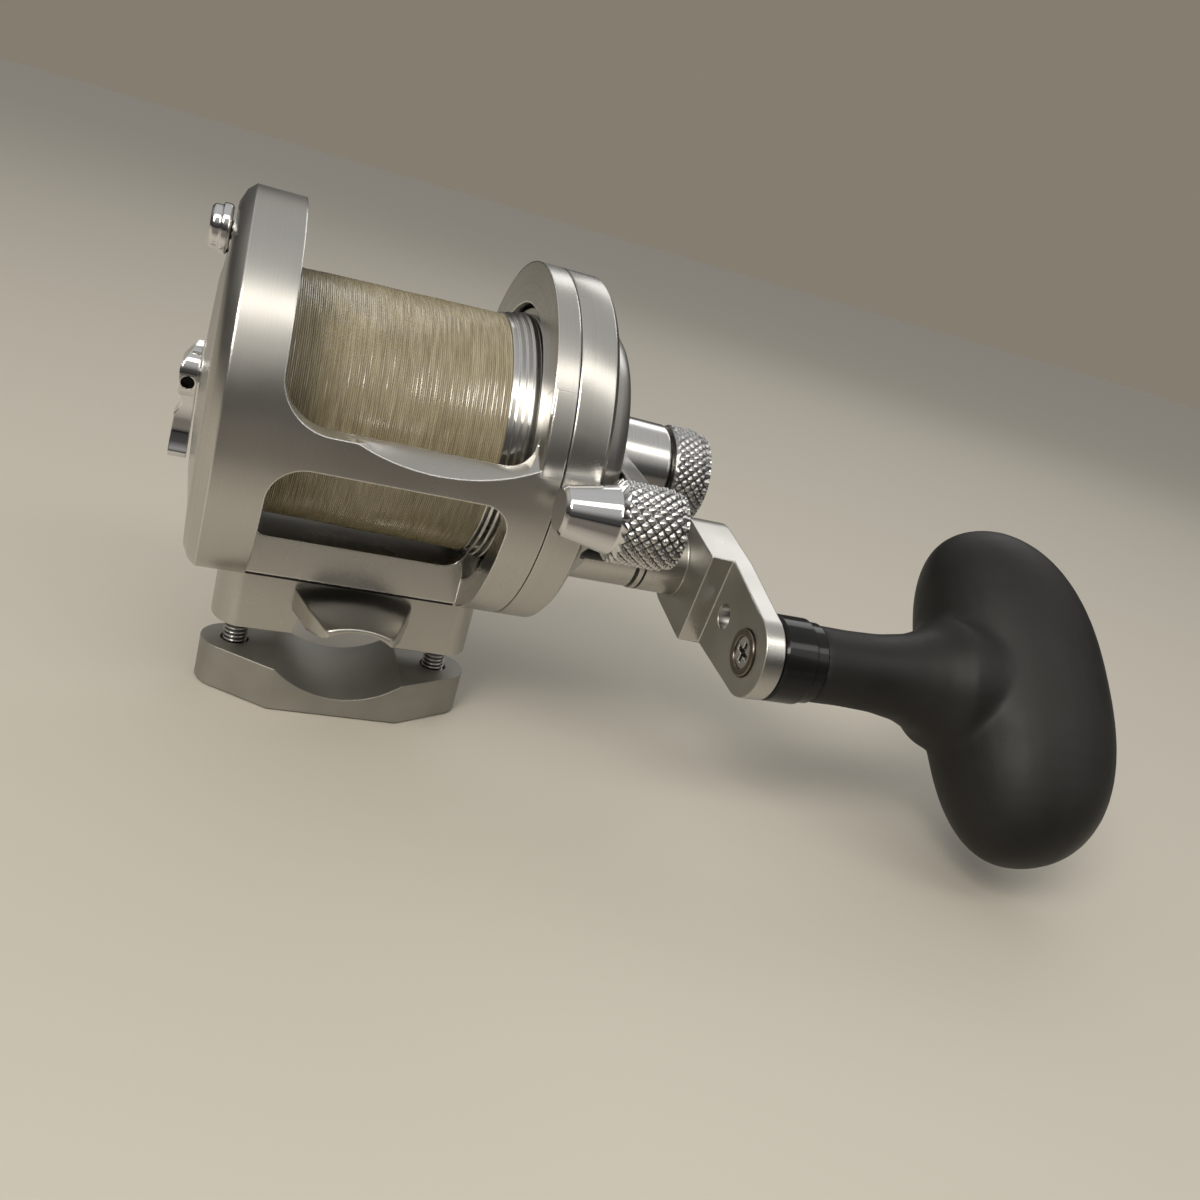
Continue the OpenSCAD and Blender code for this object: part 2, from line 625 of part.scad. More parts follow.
// T-bar lofted from rounded rings along its length
bar_rings = 26;
bar_sides = 32;
function bar_u(i) = -cos(i*180/bar_rings);
function bar_full(u) = pow(max(0, 1 - pow(abs(u), 2.7)), 0.44);
function bar_bend(u) = -2.9*u*u;
function bar_ring(i) = let (u = bar_u(i), k = bar_full(u)) [for (j = [0:bar_sides - 1])
    let (a = j*360/bar_sides) [grip_mid + bar_bend(u) + k*grip_d/2*cos(a)*(cos(a) < 0 ? 0.92 : 1.04),
                               k*grip_d*0.44*sin(a)*(1 + 0.05*cos(a)), u*grip_len/2]];
module grip_bar() {
    rings = [for (i = [1:bar_rings - 1]) bar_ring(i)];
    n = len(rings);
    pts = concat([for (r = rings) each r], [[grip_mid + bar_bend(1), 0, -grip_len/2], [grip_mid + bar_bend(1), 0, grip_len/2]]);
    m = bar_sides;
    sides = [for (j = [0:n - 2]) for (k = [0:m - 1]) each [
        [j*m + k, (j + 1)*m + k, j*m + (k + 1)%m], [j*m + (k + 1)%m, (j + 1)*m + k, (j + 1)*m + (k + 1)%m]]];
    caps = [for (k = [0:m - 1]) each [[n*m, k, (k + 1)%m], [n*m + 1, (n - 1)*m + (k + 1)%m, (n - 1)*m + k]]];
    color("black") on_knob() rotate([grip_turn, 0, 0]) polyhedron(pts, concat(sides, caps));
}

// Left side: cast control lever with its plunger, and the clicker
cast_x = dome_l - 0.3;
cast_t = 3;
module cast_lever() {
    color("silver") on_axis() difference() {
        along_x(cast_x - cast_t, cast_x) difference() {
            union() {
                circle(cast_r);
                polygon([[-2.4, 2], [0, 0], [2.4, 2], [0, cast_r + 1]]);
                translate([-3.4, -cast_len + 1.5]) square([6.8, cast_len - 2]);
                translate([0, -cast_len + 3.4]) circle(3.4);
            }
            for (s = [-1, 1]) translate([s*13.6, -cast_len*0.56]) circle(11.4);
        }
        rod_x(cast_x - 1.4, cast_x + 1, 1.6 + press_gap);
        along_y(-cast_r - 1, -2.6) translate([cast_x - cast_t/2, -1]) circle(1.1);
    }
}
module cast_plunger() { color("gainsboro") on_axis() rod_x(cast_x - 1.3, band_l - 1.6, 1.6); }
module clicker_button() {
    color("silver") on_axis() translate([0, 0, click_z]) {
        spin_x() polygon([[0, face_l - 3.8], [click_r - 1, face_l - 3.8], [click_r - 0.5, face_l - 3.3],
                          [click_r - 0.5, face_l - 2.2], [click_r, face_l - 2], [click_r, face_l - 0.9],
                          [click_r - 0.4, face_l - 0.5], [stem_r, face_l - 0.5], [stem_r, pawl_x1], [0, pawl_x1]]);
    }
}
pawl_x0 = recess_floor + 0.4;
pawl_x1 = pawl_x0 + 1.2;
module click_pawl() {
    color("gray") on_axis() along_x(pawl_x0, pawl_x1) difference() {
        polygon([[-2, click_z + 1.6], [-2, click_gear_r + 5.4], [-0.4, click_gear_r + 3.5],
                 [0.4, click_gear_r + 3.5], [2, click_gear_r + 5.4], [2, click_z + 1.6]]);
        translate([0, click_z]) circle(stem_r + press_gap);
    }
}
module click_spring() {
    color("gray") on_axis() for (s = [-1, 1])
        along_x(recess_floor, recess_floor + 1.4) translate([s*2.8 - 0.2, 14]) square([0.4, 6]);
}

frame();
right_side_plate();
side_plate_screws();
rod_foot();
foot_screws();
rod_clamp();
clamp_screws();
spool();
line_core();
line_winding();
spool_shaft();
spool_bearings();
click_gear();
drag_washer();
drag_rotor();
pinion();
pinion_bearing();
cam_collar();
drag_springs();
drag_lever();
lever_knob();
preset_knob();
preset_spring();
strike_button();
strike_spring();
main_gear();
handle_shaft();
anti_reverse_clutch();
handle_bearing();
handle_arm();
handle_nut();
nut_lock_screw();
knob_spindle();
spindle_bush();
knob_bearings();
grip_core();
grip_ferrule();
grip_bar();
cast_lever();
cast_plunger();
clicker_button();
click_pawl();
click_spring();
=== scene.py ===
# %% [markdown]
# # A lever-drag fishing reel
# The CAD model gives every piece its size, place and motion. This lesson loads that model as a fixed
# frame and then dresses it: worked edges on the metal, knurls on the knobs, fine line on the spool,
# a moulded grip, and materials that show how each piece was made.

# %% Load the CAD frame
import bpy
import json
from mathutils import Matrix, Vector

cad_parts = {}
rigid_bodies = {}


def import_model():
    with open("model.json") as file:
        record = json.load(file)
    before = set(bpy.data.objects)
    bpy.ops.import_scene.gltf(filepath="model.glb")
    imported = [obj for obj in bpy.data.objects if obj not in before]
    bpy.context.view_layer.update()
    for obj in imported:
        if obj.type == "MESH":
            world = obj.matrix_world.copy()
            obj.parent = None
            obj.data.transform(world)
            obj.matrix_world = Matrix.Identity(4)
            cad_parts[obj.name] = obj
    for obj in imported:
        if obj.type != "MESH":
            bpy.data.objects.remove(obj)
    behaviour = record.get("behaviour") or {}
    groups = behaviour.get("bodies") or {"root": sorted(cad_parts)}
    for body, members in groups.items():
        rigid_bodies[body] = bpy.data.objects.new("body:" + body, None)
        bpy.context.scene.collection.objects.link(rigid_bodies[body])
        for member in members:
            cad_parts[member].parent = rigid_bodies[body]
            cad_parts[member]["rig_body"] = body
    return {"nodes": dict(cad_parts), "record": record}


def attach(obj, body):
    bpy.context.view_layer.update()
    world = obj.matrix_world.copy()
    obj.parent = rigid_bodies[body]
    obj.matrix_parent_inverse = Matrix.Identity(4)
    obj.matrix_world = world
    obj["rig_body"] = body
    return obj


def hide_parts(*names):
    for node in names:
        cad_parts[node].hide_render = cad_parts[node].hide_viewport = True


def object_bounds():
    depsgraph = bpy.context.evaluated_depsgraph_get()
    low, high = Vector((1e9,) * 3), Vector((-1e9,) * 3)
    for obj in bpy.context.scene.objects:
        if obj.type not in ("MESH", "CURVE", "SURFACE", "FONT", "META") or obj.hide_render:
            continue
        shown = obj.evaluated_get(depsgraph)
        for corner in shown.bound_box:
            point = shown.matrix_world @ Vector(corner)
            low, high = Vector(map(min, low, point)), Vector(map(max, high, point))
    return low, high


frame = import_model()
cad_box = [list(c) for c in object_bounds()]

import bpy, bmesh, json, math
from mathutils import Matrix, Vector, noise

MM = 0.001
SPOOL_Z = 42.5 * MM

# %% [markdown]
# ## Camera
# The camera stands where the photograph's camera stood, behind the reel and above its left side. Its place
# and turn were solved from the circles of the side plates. The three columns of the matrix are the
# camera's right, up and backward directions.

# %% Camera
right = Vector((0.924, -0.264, 0.276))
down = Vector((0.154, -0.402, -0.903))
ahead = Vector((0.349, 0.877, -0.331))
camera_data = bpy.data.cameras.new("photo_camera")
SENSOR, FOCAL_PX, PHOTO_PX = 36, 1110, 1200
camera_data.sensor_width = SENSOR
camera_data.lens = SENSOR * FOCAL_PX / PHOTO_PX
camera_data.clip_start = 0.01
camera = bpy.data.objects.new("photo_camera", camera_data)
bpy.context.collection.objects.link(camera)
turn = Matrix((right, -down, -ahead)).transposed().to_4x4()
CAMERA_AT = (-29.15 * MM, -196 * MM, 88.1 * MM)
camera.matrix_world = Matrix.Translation(CAMERA_AT) @ turn
bpy.context.scene.camera = camera
print("camera lens", round(camera_data.lens, 2))

# %% [markdown]
# ## Floor and light
# Polished metal shows the room, so the light matters more than the colour. Large soft lamps give broad
# highlights with dark bands between them, and a pale floor gives the underside something to reflect.
# The floor is wide and even. Whoever takes a photograph shades the table in front of them, so the metal
# sees a darker floor there, while the camera and the soft light see one plain tone.

# %% Floor
def material(name):
    made = bpy.data.materials.new(name)
    made.use_nodes = True
    return made, made.node_tree.nodes, made.node_tree.links, made.node_tree.nodes["Principled BSDF"]

FLOOR_SIZE, FLOOR_GAP = 3, 0.0002
SHADE_FROM, SHADE_FULL = -0.05, -0.13
floor_look, nodes, links, shader = material("pale_table")
shader.inputs["Roughness"].default_value = 0.6
spot = nodes.new("ShaderNodeTexCoord")
axes = nodes.new("ShaderNodeSeparateXYZ")
links.new(spot.outputs["Object"], axes.inputs[0])
near = nodes.new("ShaderNodeMapRange")
near.inputs["From Min"].default_value = SHADE_FROM
near.inputs["From Max"].default_value = SHADE_FULL
links.new(axes.outputs["Y"], near.inputs["Value"])
ray = nodes.new("ShaderNodeLightPath")
shade = nodes.new("ShaderNodeMath")
shade.operation = "MULTIPLY"
links.new(near.outputs["Result"], shade.inputs[0])
links.new(ray.outputs["Is Glossy Ray"], shade.inputs[1])
tone = nodes.new("ShaderNodeMix")
tone.data_type = "RGBA"
tone.inputs["A"].default_value = (0.54, 0.505, 0.435, 1)
tone.inputs["B"].default_value = (0.13, 0.115, 0.10, 1)
links.new(shade.outputs[0], tone.inputs["Factor"])
links.new(tone.outputs["Result"], shader.inputs["Base Color"])
grid = bmesh.new()
bmesh.ops.create_grid(grid, x_segments=1, y_segments=1, size=FLOOR_SIZE)
floor_mesh = bpy.data.meshes.new("floor")
bmesh.ops.translate(grid, verts=grid.verts, vec=(0, 0, cad_box[0][2] - FLOOR_GAP))
grid.to_mesh(floor_mesh)
grid.free()
floor_mesh.materials.append(floor_look)
floor = bpy.data.objects.new("floor", floor_mesh)
bpy.context.collection.objects.link(floor)
print("floor at", round(cad_box[0][2] * 1000, 2), "mm")

# %% Light
def soft_lamp(name, place, target, size, power, tint=(1, 1, 1)):
    lamp = bpy.data.lights.new(name, "AREA")
    lamp.shape = "RECTANGLE"
    lamp.size, lamp.size_y = size
    lamp.energy = power
    lamp.color = tint
    holder = bpy.data.objects.new(name, lamp)
    aim = (Vector(target) - Vector(place)).to_track_quat("-Z", "Y")
    holder.matrix_world = Matrix.Translation(place) @ aim.to_matrix().to_4x4()
    bpy.context.collection.objects.link(holder)

soft_lamp("key_lamp", (-0.42, -0.50, 0.58), (0.02, 0, 0.03), (0.36, 0.36), 4.4, (1, 0.95, 0.87))
soft_lamp("strip_lamp", (0.05, -0.40, 0.72), (0.05, 0, 0.04), (1.2, 0.22), 1.7, (1, 0.96, 0.88))
soft_lamp("far_lamp", (0.45, 0.55, 0.55), (0.03, 0, 0.03), (0.6, 0.3), 0.8)
soft_lamp("side_lamp", (0.55, -0.45, 0.45), (0.05, 0, 0.03), (0.3, 0.5), 0.4)
world = bpy.data.worlds.new("room")
bpy.context.scene.world = world
world.use_nodes = True
sky = world.node_tree
room = sky.nodes["Background"]
room.inputs["Strength"].default_value = 0.55
facing = sky.nodes.new("ShaderNodeTexCoord")
height = sky.nodes.new("ShaderNodeSeparateXYZ")
sky.links.new(facing.outputs["Generated"], height.inputs[0])
walls = sky.nodes.new("ShaderNodeValToRGB")
WALL_TONES, WALL_TINT = ((0.05, 0.09), (0.30, 0.14), (0.58, 0.85), (1.0, 1.0)), (1, 0.975, 0.93)
for level, grey in WALL_TONES:
    stop = walls.color_ramp.elements.new(level)
    stop.color = (*(grey * tint for tint in WALL_TINT), 1)
sky.links.new(height.outputs["Z"], walls.inputs["Fac"])
sky.links.new(walls.outputs["Color"], room.inputs["Color"])
backdrop = sky.nodes.new("ShaderNodeBackground")
backdrop.inputs["Color"].default_value = (0.235, 0.205, 0.16, 1)
seen = sky.nodes.new("ShaderNodeLightPath")
choose = sky.nodes.new("ShaderNodeMixShader")
sky.links.new(seen.outputs["Is Camera Ray"], choose.inputs["Fac"])
sky.links.new(room.outputs[0], choose.inputs[1])
sky.links.new(backdrop.outputs[0], choose.inputs[2])
sky.links.new(choose.outputs[0], sky.nodes["World Output"].inputs["Surface"])
bpy.context.scene.view_settings.view_transform = "Standard"

# %% [markdown]
# ## Shared effects
# Several metals carry the same marks, so each effect is a node group that is built once. The turning group
# reads the distance from the spool's axis and the place along it, and gives fine rings as a lathe leaves
# them. The worn edge group compares the true normal with a rounded one, which differ only near an edge.
# The speckle group gives cast, blasted and rubber surfaces their fine grain.

# %% Node groups
def effect(name, inputs, outputs):
    group = bpy.data.node_groups.new(name, "ShaderNodeTree")
    for kind, socket in inputs:
        group.interface.new_socket(socket, in_out="INPUT", socket_type="NodeSocket" + kind)
    for kind, socket in outputs:
        group.interface.new_socket(socket, in_out="OUTPUT", socket_type="NodeSocket" + kind)
    return group, group.nodes.new("NodeGroupInput"), group.nodes.new("NodeGroupOutput")

def add(tree, kind, settings=(), values=()):
    node = tree.nodes.new("ShaderNode" + kind)
    for key, value in dict(settings).items():
        setattr(node, key, value)
    for key, value in dict(values).items():
        node.inputs[key].default_value = value
    return node

turning, g_in, g_out = effect("turning_rings", [("Vector", "Place"), ("Float", "Fineness")],
                              [("Float", "Rings"), ("Float", "Broad")])
split = add(turning, "SeparateXYZ")
turning.links.new(g_in.outputs["Place"], split.inputs[0])
drop = add(turning, "Math", {"operation": "SUBTRACT"}, {1: SPOOL_Z})
turning.links.new(split.outputs["Z"], drop.inputs[0])
flat = add(turning, "CombineXYZ")
turning.links.new(split.outputs["Y"], flat.inputs["X"])
turning.links.new(drop.outputs[0], flat.inputs["Y"])
reach = add(turning, "VectorMath", {"operation": "LENGTH"})
turning.links.new(flat.outputs[0], reach.inputs[0])
spot = add(turning, "CombineXYZ")
turning.links.new(split.outputs["X"], spot.inputs["X"])
turning.links.new(reach.outputs["Value"], spot.inputs["Y"])
fine = add(turning, "TexNoise", {"noise_dimensions": "2D"}, {"Detail": 3})
turning.links.new(spot.outputs[0], fine.inputs["Vector"])
turning.links.new(g_in.outputs["Fineness"], fine.inputs["Scale"])
broad = add(turning, "TexNoise", (), {"Scale": 60, "Detail": 4})
turning.links.new(g_in.outputs["Place"], broad.inputs["Vector"])
turning.links.new(fine.outputs["Fac"], g_out.inputs["Rings"])
turning.links.new(broad.outputs["Fac"], g_out.inputs["Broad"])

edges, g_in, g_out = effect("worn_edge", [("Float", "Width")], [("Float", "Edge"), ("Vector", "Soft Normal")])
rounded = add(edges, "Bevel", {"samples": 6})
edges.links.new(g_in.outputs["Width"], rounded.inputs["Radius"])
true_face = add(edges, "NewGeometry")
match = add(edges, "VectorMath", {"operation": "DOT_PRODUCT"})
edges.links.new(rounded.outputs[0], match.inputs[0])
edges.links.new(true_face.outputs["Normal"], match.inputs[1])
mask = add(edges, "MapRange", {"clamp": True},
           {"From Min": 0.995, "From Max": 0.90, "To Min": 0, "To Max": 1})
edges.links.new(match.outputs["Value"], mask.inputs["Value"])
edges.links.new(mask.outputs["Result"], g_out.inputs["Edge"])
edges.links.new(rounded.outputs[0], g_out.inputs["Soft Normal"])

speckle, g_in, g_out = effect("speckle", [("Vector", "Place"), ("Float", "Fineness")],
                              [("Float", "Grain"), ("Float", "Cloud")])
grain = add(speckle, "TexNoise", (), {"Detail": 2})
speckle.links.new(g_in.outputs["Place"], grain.inputs["Vector"])
speckle.links.new(g_in.outputs["Fineness"], grain.inputs["Scale"])
cloud = add(speckle, "TexNoise", (), {"Scale": 90, "Detail": 4})
speckle.links.new(g_in.outputs["Place"], cloud.inputs["Vector"])
speckle.links.new(grain.outputs["Fac"], g_out.inputs["Grain"])
speckle.links.new(cloud.outputs["Fac"], g_out.inputs["Cloud"])
print("groups:", [g.name for g in bpy.data.node_groups])

# %% [markdown]
# ## Metals and plastics
# Each metal mixes two tones by its marks, takes its roughness from the same marks, and is brighter and
# smoother along its edges, where hands and cloths polish it. The constants sit on the shader itself,
# so that other programs read them.

# %% Material builders
RING_FINENESS, METAL_EDGE, GRAIN_EDGE = 9000, 0.0004, 0.0003
RING_DEPTH, GRAIN_DEPTH, EDGE_GLOSS = 0.00003, 0.00008, 0.6

def place_group(tree, group, **values):
    node = tree.nodes.new("ShaderNodeGroup")
    node.node_tree = group
    for key, value in values.items():
        node.inputs[key].default_value = value
    return node

def mixed(tree, factor, a, b):
    node = add(tree, "Mix", {"data_type": "RGBA"})
    node.inputs["A"].default_value = (*a, 1)
    tree.links.new(factor, node.inputs["Factor"])
    if isinstance(b, tuple):
        node.inputs["B"].default_value = (*b, 1)
    else:
        tree.links.new(b, node.inputs["B"])
    return node.outputs["Result"]

def ranged(tree, source, low, high, a=0.3, b=0.7):
    node = add(tree, "MapRange", {"clamp": True},
               {"From Min": a, "From Max": b, "To Min": low, "To Max": high})
    tree.links.new(source, node.inputs["Value"])
    return node.outputs["Result"]

def turned_metal(name, dark, light, edge_tone, rough, depth=0.02):
    made, _, links, shader = material(name)
    tree = made.node_tree
    where = add(tree, "TexCoord")
    rings = place_group(tree, turning, Fineness=RING_FINENESS)
    links.new(where.outputs["Object"], rings.inputs["Place"])
    worn = place_group(tree, edges, Width=METAL_EDGE)
    base = mixed(tree, ranged(tree, rings.outputs["Rings"], 0, 1), dark, light)
    tinted = add(tree, "Mix", {"data_type": "RGBA"})
    tinted.inputs["B"].default_value = (*edge_tone, 1)
    links.new(base, tinted.inputs["A"])
    links.new(worn.outputs["Edge"], tinted.inputs["Factor"])
    links.new(tinted.outputs["Result"], shader.inputs["Base Color"])
    rub = ranged(tree, rings.outputs["Broad"], rough[0], rough[1])
    smooth = add(tree, "MapRange", {"clamp": True},
                 {"From Min": 0, "From Max": 1, "To Max": rough[0] * EDGE_GLOSS})
    links.new(worn.outputs["Edge"], smooth.inputs["Value"])
    links.new(rub, smooth.inputs["To Min"])
    links.new(smooth.outputs["Result"], shader.inputs["Roughness"])
    bump = add(tree, "Bump", (), {"Strength": depth * 5, "Distance": RING_DEPTH})
    links.new(rings.outputs["Rings"], bump.inputs["Height"])
    links.new(worn.outputs["Soft Normal"], bump.inputs["Normal"])
    links.new(bump.outputs["Normal"], shader.inputs["Normal"])
    shader.inputs["Metallic"].default_value = 1.0
    return made

def grained(name, dark, light, rough, fineness, depth, metal=0.0, coat=0.0):
    made, _, links, shader = material(name)
    tree = made.node_tree
    where = add(tree, "TexCoord")
    spots = place_group(tree, speckle, Fineness=fineness)
    links.new(where.outputs["Object"], spots.inputs["Place"])
    worn = place_group(tree, edges, Width=GRAIN_EDGE)
    tone = mixed(tree, ranged(tree, spots.outputs["Cloud"], 0, 1), dark, light)
    links.new(tone, shader.inputs["Base Color"])
    links.new(ranged(tree, spots.outputs["Cloud"], rough[0], rough[1]), shader.inputs["Roughness"])
    bump = add(tree, "Bump", (), {"Strength": depth, "Distance": GRAIN_DEPTH})
    links.new(spots.outputs["Grain"], bump.inputs["Height"])
    links.new(worn.outputs["Soft Normal"], bump.inputs["Normal"])
    links.new(bump.outputs["Normal"], shader.inputs["Normal"])
    shader.inputs["Metallic"].default_value = metal
    shader.inputs["Coat Weight"].default_value = coat
    return made

# %% Finishes
anodised = turned_metal("satin_anodised", (0.50, 0.486, 0.455), (0.59, 0.575, 0.54), (0.90, 0.89, 0.86),
                        (0.24, 0.34))
polished = turned_metal("polished_aluminium", (0.62, 0.61, 0.59), (0.70, 0.69, 0.67), (0.9, 0.9, 0.88),
                        (0.14, 0.22), 0.012)
chrome = turned_metal("mirror_chrome", (0.72, 0.72, 0.72), (0.78, 0.78, 0.78), (0.92, 0.92, 0.92),
                      (0.04, 0.08), 0.002)
steel = turned_metal("turned_steel", (0.42, 0.415, 0.405), (0.55, 0.54, 0.53), (0.8, 0.8, 0.79),
                     (0.22, 0.34))
nickel = turned_metal("satin_nickel", (0.47, 0.455, 0.42), (0.56, 0.545, 0.51), (0.82, 0.81, 0.78),
                      (0.26, 0.38))
oxide = turned_metal("dark_oxide_steel", (0.08, 0.08, 0.085), (0.13, 0.13, 0.135), (0.3, 0.3, 0.3),
                     (0.3, 0.42))
brass = turned_metal("cut_brass", (0.55, 0.39, 0.16), (0.66, 0.49, 0.22), (0.85, 0.70, 0.40),
                     (0.24, 0.34))
bronze = turned_metal("dull_bronze", (0.12, 0.10, 0.08), (0.18, 0.15, 0.12), (0.36, 0.32, 0.27),
                      (0.32, 0.45))
blasted = grained("blasted_metal", (0.30, 0.29, 0.262), (0.39, 0.378, 0.345), (0.42, 0.55), 6000, 0.5,
                  metal=0.85)
carbon = grained("carbon_fibre", (0.02, 0.02, 0.022), (0.05, 0.05, 0.055), (0.35, 0.5), 3000, 0.4)
gloss_black = grained("glossy_black", (0.006, 0.006, 0.006), (0.010, 0.010, 0.010), (0.08, 0.16), 2000, 0.05,
                      coat=0.15)
rubber = grained("matte_grip", (0.0090, 0.0085, 0.0074), (0.015, 0.0142, 0.0125), (0.46, 0.60), 2600, 0.22)
for dark, shine in ((rubber, 0.32), (gloss_black, 0.2)):
    dark.node_tree.nodes["Principled BSDF"].inputs["Specular IOR Level"].default_value = shine
by_slot = {"anodised": anodised, "polished": polished, "chrome": chrome, "steel": steel, "dark_steel": oxide,
           "nickel": nickel, "blasted": blasted, "brass": brass, "bronze": bronze, "carbon": carbon,
           "black_gloss": gloss_black, "rubber": rubber}
print("finishes:", len(by_slot))

# %% [markdown]
# ## Wound line
# Clear monofilament shows the layers beneath it, so it looks straw coloured and soft, with a sharp glint
# on every turn. Its colour changes from turn to turn and only slowly round the spool, so the noise is
# squeezed along the spool's axis.

# %% Line finish
line_look, _, links, shader = material("straw_monofilament")
tree = line_look.node_tree
where = add(tree, "TexCoord")
squeeze = add(tree, "Mapping", (), {"Scale": (2600, 160, 160)})
links.new(where.outputs["Object"], squeeze.inputs["Vector"])
strands = add(tree, "TexNoise", (), {"Scale": 1, "Detail": 3})
links.new(squeeze.outputs["Vector"], strands.inputs["Vector"])
layers = place_group(tree, speckle, Fineness=700)
links.new(where.outputs["Object"], layers.inputs["Place"])
pale = mixed(tree, ranged(tree, layers.outputs["Cloud"], 0, 1), (0.33, 0.285, 0.185), (0.44, 0.39, 0.27))
straw = mixed(tree, ranged(tree, strands.outputs["Fac"], 0, 1), (0.22, 0.18, 0.105), pale)
links.new(straw, shader.inputs["Base Color"])
links.new(ranged(tree, strands.outputs["Fac"], 0.28, 0.13), shader.inputs["Roughness"])
shader.inputs["Subsurface Weight"].default_value = 0.2
shader.inputs["Subsurface Radius"].default_value = (0.0012, 0.0009, 0.0005)
shader.inputs["Subsurface Scale"].default_value = 1.0
shader.inputs["Specular IOR Level"].default_value = 1.0
by_slot["line"] = line_look
print("line finish ready")

# %% [markdown]
# The record names a material slot for each CAD node, and each slot has a finish. The clamp's screws are an
# exception: their shanks are dark, and only the ridges of their threads, which are added below, are bright.

# %% Finishes on the CAD nodes
slot_of = {s["node"]: s["material_slot"] for s in frame["record"]["subparts"]}
for node, body_node in frame["nodes"].items():
    body_node.data.materials.clear()
    body_node.data.materials.append(by_slot[slot_of[node]])
frame["nodes"]["clamp_screws"].data.materials[0] = oxide
print("nodes with a finish:", len(slot_of))

# %% [markdown]
# ## Worked edges
# No machined edge is truly sharp: a fine bevel catches the light and draws the outline of each piece. A CAD
# node comes as loose triangles, so a copy is welded, its flat faces are joined up again, and a bevel that
# takes only real corners is added. The copy then stands for the node. A few copies are also reshaped
# before the bevel, each by a small function of its own. Where edges lie very close together the bevel has no
# room: on the frame it comes to nothing, and the worn edge in its material softens the edges instead.

# %% Helpers for shapes
CORNER, FLAT = math.radians(32), math.radians(0.3)
WELD, SEAM, SPECK = 0.000002, 0.000001, 0.00002

def put(name, shape, looks, node, stands_for, face_look=None):
    for face in shape.faces:
        face.smooth = True
        face.material_index = face_look(face) if face_look else 0
    for edge in shape.edges:
        edge.smooth = len(edge.link_faces) == 2 and edge.calc_face_angle() < CORNER
    mesh = bpy.data.meshes.new(name)
    shape.to_mesh(mesh)
    shape.free()
    for look in looks:
        mesh.materials.append(look)
    piece = bpy.data.objects.new(name, mesh)
    bpy.context.collection.objects.link(piece)
    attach(piece, frame["nodes"][node]["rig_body"])
    if stands_for:
        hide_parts(*stands_for)
    return piece

def welded(*names):
    shape = bmesh.new()
    for name in names:
        shape.from_mesh(frame["nodes"][name].data)
    bmesh.ops.remove_doubles(shape, verts=shape.verts[:], dist=WELD)
    return shape

def spun(outline, centre, steps, closed=True, start=0.0, sweep=2 * math.pi):
    shape = bmesh.new()
    points = [shape.verts.new((x * MM, centre[0], centre[1] + r * MM)) for x, r in outline]
    chain = [shape.edges.new(pair) for pair in zip(points, points[1:])]
    if closed:
        chain.append(shape.edges.new((points[-1], points[0])))
    bmesh.ops.rotate(shape, verts=points, cent=(0, *centre), matrix=Matrix.Rotation(start, 3, "X"))
    whole = sweep == 2 * math.pi
    bmesh.ops.spin(shape, geom=points + chain, cent=(0, *centre), axis=(1, 0, 0), angle=sweep,
                   steps=steps, use_merge=whole)
    if not whole:
        bmesh.ops.holes_fill(shape, edges=[e for e in shape.edges if len(e.link_faces) == 1], sides=0)
    bmesh.ops.remove_doubles(shape, verts=shape.verts[:], dist=SEAM)
    bmesh.ops.recalc_face_normals(shape, faces=shape.faces[:])
    return shape

def square_ring(x, r):
    return [(x[0], r[0]), (x[0], r[1]), (x[1], r[1]), (x[1], r[0])]

def lofted(sections):
    shape = bmesh.new()
    loops = [[shape.verts.new(Vector(point) * MM) for point in section] for section in sections]
    rings = [[shape.edges.new(pair) for pair in zip(loop, loop[1:] + loop[:1])] for loop in loops]
    for ring, following in zip(rings, rings[1:]):
        bmesh.ops.bridge_loops(shape, edges=ring + following)
    bmesh.ops.holes_fill(shape, edges=rings[0] + rings[-1], sides=0)
    bmesh.ops.recalc_face_normals(shape, faces=shape.faces[:])
    return shape

def broken_edges(piece, width, segments=2):
    bevel = piece.modifiers.new("broken_edge", "BEVEL")
    bevel.width = width
    bevel.segments = segments
    bevel.limit_method = "ANGLE"
    bevel.angle_limit = CORNER
    bevel.harden_normals = True
    return piece

def worked(node, width, looks=None, face_look=None, segments=2, reshape=None):
    shape = welded(node)
    bmesh.ops.dissolve_limit(shape, angle_limit=FLAT, verts=shape.verts[:], edges=shape.edges[:])
    if reshape:
        reshape(shape)
    piece = put(node + "_worked", shape, looks or [by_slot[slot_of[node]]], node, [node], face_look)
    return broken_edges(piece, width, segments)

print("helpers ready")

# %% [markdown]
# ## Machined pieces
# The scallop's cutter also nicks the two rims beside the frame's opening. On the left the few points of the
# nick are moved back to the rim. The side plate gets a chamfer where it meets the frame: a cut adds a ring of
# points just inside the joint, and the points at the joint are then drawn in.

# %% Machined pieces
LEFT_RIM, RIGHT_RIM = -20.15, 20.15
NICK_X, NICK_Y, NICK_LOW, NICK_HIGH = -22, -20, 5, 16
JOINT_X, JOINT_WIDE, JOINT_R, PLATE_R = 24.05, 0.36, 31.62, 32.0
AT_JOINT, AT_RIM = 0.02, 0.05

def true_rim(shape):
    for vert in shape.verts:
        beside = NICK_X * MM < vert.co.x < LEFT_RIM * MM
        if beside and vert.co.y < NICK_Y * MM and NICK_LOW * MM < vert.co.z - SPOOL_Z < NICK_HIGH * MM:
            vert.co.x = LEFT_RIM * MM
    bmesh.ops.dissolve_degenerate(shape, dist=SPECK, edges=shape.edges[:])

